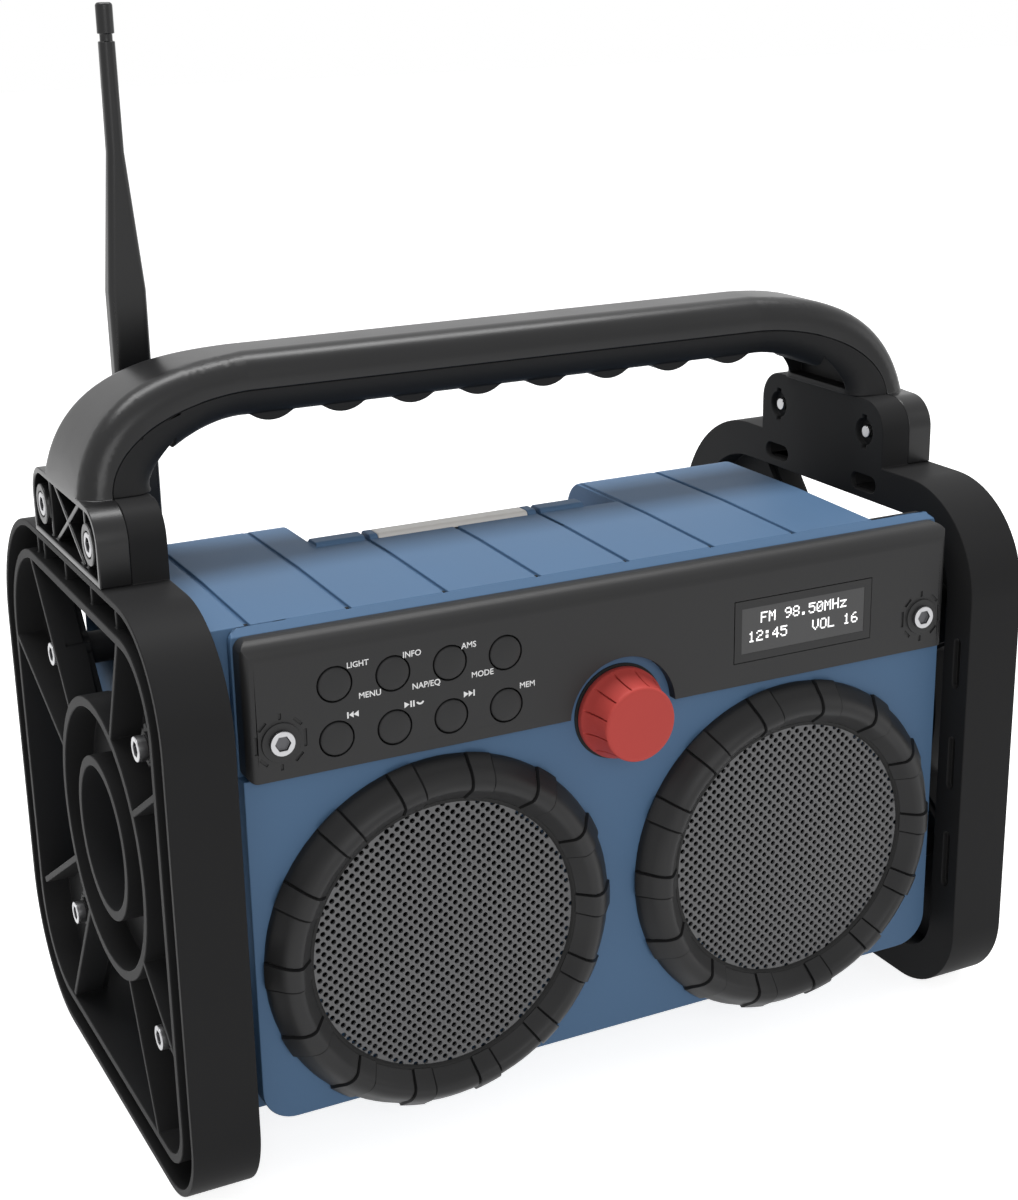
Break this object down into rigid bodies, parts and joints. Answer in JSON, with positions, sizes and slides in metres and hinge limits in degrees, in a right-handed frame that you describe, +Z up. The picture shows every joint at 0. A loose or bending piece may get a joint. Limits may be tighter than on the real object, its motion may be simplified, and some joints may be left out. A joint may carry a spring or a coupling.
{
  "type": "jobsite radio",
  "caption": "Rugged portable radio between ribbed side frames under a fixed carrying handle, with round loudspeakers, push buttons, a display, a volume knob and a folding aerial.",
  "frame": {"origin": "middle of the bounding box on the surface that the radio stands on", "axes": "+X to the right seen from the front, +Y from the front to the rear, +Z up"},
  "size_m": [0.3366, 0.208, 0.3898],
  "materials": {
    "blue_plastic": "satin",
    "black_plastic": "satin",
    "grip_rubber": "matte",
    "bezel_plastic": "satin",
    "seal_rubber": "matte",
    "aerial_plastic": "satin",
    "display_glass": "clear",
    "display_face": "satin",
    "circuit_board": "satin",
    "encoder_metal": "satin",
    "grille_metal": "satin",
    "basket_metal": "satin",
    "cone_black": "matte",
    "magnet_black": "satin",
    "lens_white": "translucent",
    "cell_wrap": "wrapped",
    "screw_steel": "satin",
    "knob_red": "satin",
    "button_black": "matte"
  },
  "bodies": {
    "radio": {"front_shell": "blue_plastic", "rear_shell": "blue_plastic", "housing_seal": "seal_rubber", "handle_upper": "black_plastic", "handle_lower": "grip_rubber", "left_frame": "black_plastic", "right_frame": "black_plastic", "control_fascia": "blue_plastic", "display_window": "display_glass", "display_module": "display_face", "key_board": "circuit_board", "rotary_encoder": "encoder_metal", "main_board": "circuit_board", "left_speaker_bezel": "bezel_plastic", "right_speaker_bezel": "bezel_plastic", "left_speaker_grille": "grille_metal", "right_speaker_grille": "grille_metal", "left_driver_basket": "basket_metal", "right_driver_basket": "basket_metal", "left_driver_cone": "cone_black", "right_driver_cone": "cone_black", "left_driver_magnet": "magnet_black", "right_driver_magnet": "magnet_black", "light_lens": "lens_white", "light_board": "circuit_board", "aerial_mount": "black_plastic", "aerial_pin": "screw_steel", "battery_case": "black_plastic", "battery_cells": "cell_wrap", "battery_cover": "black_plastic", "socket_plate": "black_plastic", "frame_screws": "screw_steel", "frame_washers": "screw_steel", "handle_screws": "screw_steel", "fascia_screws": "screw_steel", "shell_screws": "screw_steel", "cover_screws": "screw_steel"},
    "volume_knob": {"volume_knob": "knob_red"},
    "button_1_1": {"button_1_1": "button_black"},
    "button_1_2": {"button_1_2": "button_black"},
    "button_1_3": {"button_1_3": "button_black"},
    "button_1_4": {"button_1_4": "button_black"},
    "button_2_1": {"button_2_1": "button_black"},
    "button_2_2": {"button_2_2": "button_black"},
    "button_2_3": {"button_2_3": "button_black"},
    "button_2_4": {"button_2_4": "button_black"},
    "aerial": {"aerial": "aerial_plastic"},
    "socket_flap": {"socket_flap": "seal_rubber"}
  },
  "joints": [
    {"name": "knob_turn", "type": "hinge", "parent": "radio", "child": "volume_knob", "pos_m": [-0.0008, -0.092, 0.1502], "axis": [0, 1, 0], "continuous": true},
    {"name": "button_1_1_press", "type": "slide", "parent": "radio", "child": "button_1_1", "axis": [0, 1, 0], "range_m": [0, 0.0008], "stiffness_N_per_m": 400},
    {"name": "button_1_2_press", "type": "slide", "parent": "radio", "child": "button_1_2", "axis": [0, 1, 0], "range_m": [0, 0.0008], "stiffness_N_per_m": 400},
    {"name": "button_1_3_press", "type": "slide", "parent": "radio", "child": "button_1_3", "axis": [0, 1, 0], "range_m": [0, 0.0008], "stiffness_N_per_m": 400},
    {"name": "button_1_4_press", "type": "slide", "parent": "radio", "child": "button_1_4", "axis": [0, 1, 0], "range_m": [0, 0.0008], "stiffness_N_per_m": 400},
    {"name": "button_2_1_press", "type": "slide", "parent": "radio", "child": "button_2_1", "axis": [0, 1, 0], "range_m": [0, 0.0008], "stiffness_N_per_m": 400},
    {"name": "button_2_2_press", "type": "slide", "parent": "radio", "child": "button_2_2", "axis": [0, 1, 0], "range_m": [0, 0.0008], "stiffness_N_per_m": 400},
    {"name": "button_2_3_press", "type": "slide", "parent": "radio", "child": "button_2_3", "axis": [0, 1, 0], "range_m": [0, 0.0008], "stiffness_N_per_m": 400},
    {"name": "button_2_4_press", "type": "slide", "parent": "radio", "child": "button_2_4", "axis": [0, 1, 0], "range_m": [0, 0.0008], "stiffness_N_per_m": 400},
    {"name": "aerial_fold", "type": "hinge", "parent": "radio", "child": "aerial", "pos_m": [-0.1296, 0.038, 0.1825], "axis": [0, 1, 0], "range_deg": [0, 90]},
    {"name": "flap_open", "type": "hinge", "parent": "radio", "child": "socket_flap", "pos_m": [0.102, 0.0778, 0.1327], "axis": [1, 0, 0], "range_deg": [0, 110]}
  ]
}
